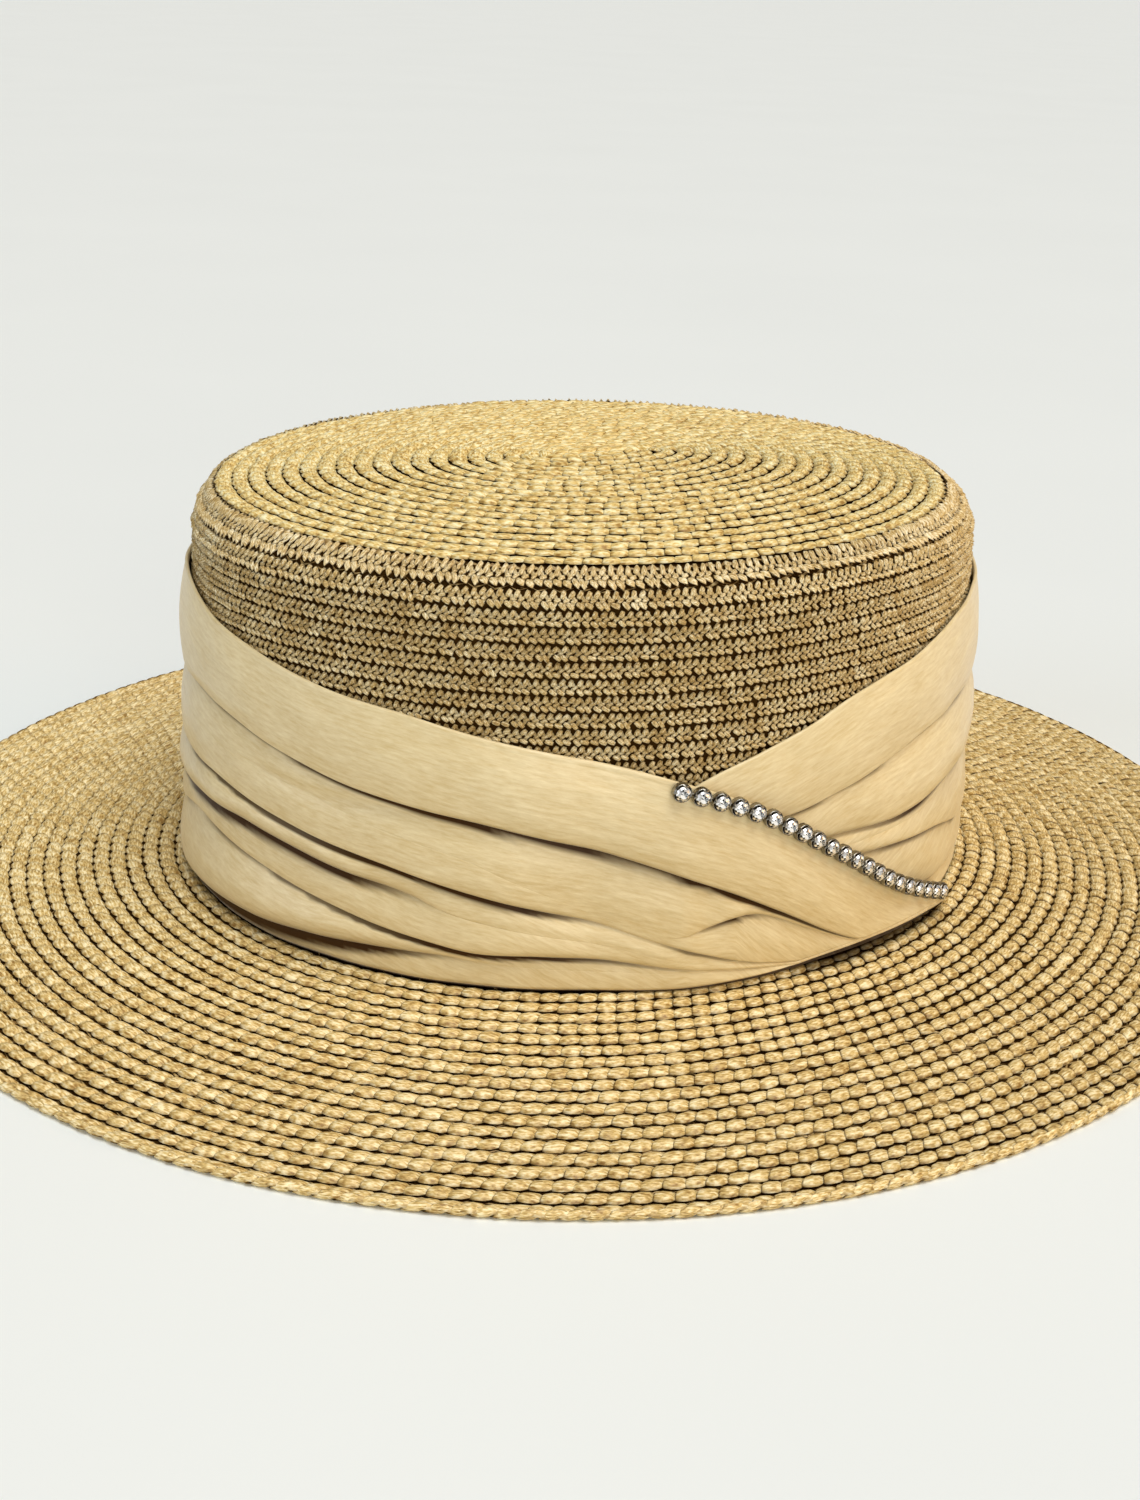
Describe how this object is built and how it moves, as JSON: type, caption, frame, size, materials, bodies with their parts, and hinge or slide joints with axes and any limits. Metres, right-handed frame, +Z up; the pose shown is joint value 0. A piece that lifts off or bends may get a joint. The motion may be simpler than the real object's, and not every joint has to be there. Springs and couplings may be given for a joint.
{
  "type": "straw boater hat",
  "caption": "Wide-brimmed straw boater of sewn braid with a gently domed tip, a pleated satin band that crosses itself at one side and a rhinestone cup chain along the crossing edge.",
  "frame": {"origin": "on the surface that the brim rests on, under the middle of the oval", "axes": "+X along the oval's long axis towards the wearer's back, +Y across the head, +Z up through the tip; the trimmed side faces -Y"},
  "size_m": [0.344, 0.324, 0.1016],
  "materials": {
    "straw": "golden tan paper-straw braid, sewn in rows, dull with a slight sheen",
    "satin": "champagne satin with a soft sheen and a fine crosswise slub",
    "cup_metal": "silver plated, slightly dulled",
    "rhinestone": "clear, cut and foiled behind"
  },
  "bodies": {
    "root": {"straw_crown": "straw", "straw_brim": "straw", "satin_band": "satin", "cup_chain": "cup_metal", "rhinestone_01": "rhinestone", "rhinestone_02": "rhinestone", "rhinestone_03": "rhinestone", "rhinestone_04": "rhinestone", "rhinestone_05": "rhinestone", "rhinestone_06": "rhinestone", "rhinestone_07": "rhinestone", "rhinestone_08": "rhinestone", "rhinestone_09": "rhinestone", "rhinestone_10": "rhinestone", "rhinestone_11": "rhinestone", "rhinestone_12": "rhinestone", "rhinestone_13": "rhinestone", "rhinestone_14": "rhinestone", "rhinestone_15": "rhinestone", "rhinestone_16": "rhinestone", "rhinestone_17": "rhinestone", "rhinestone_18": "rhinestone", "rhinestone_19": "rhinestone", "rhinestone_20": "rhinestone", "rhinestone_21": "rhinestone"}
  },
  "joints": []
}
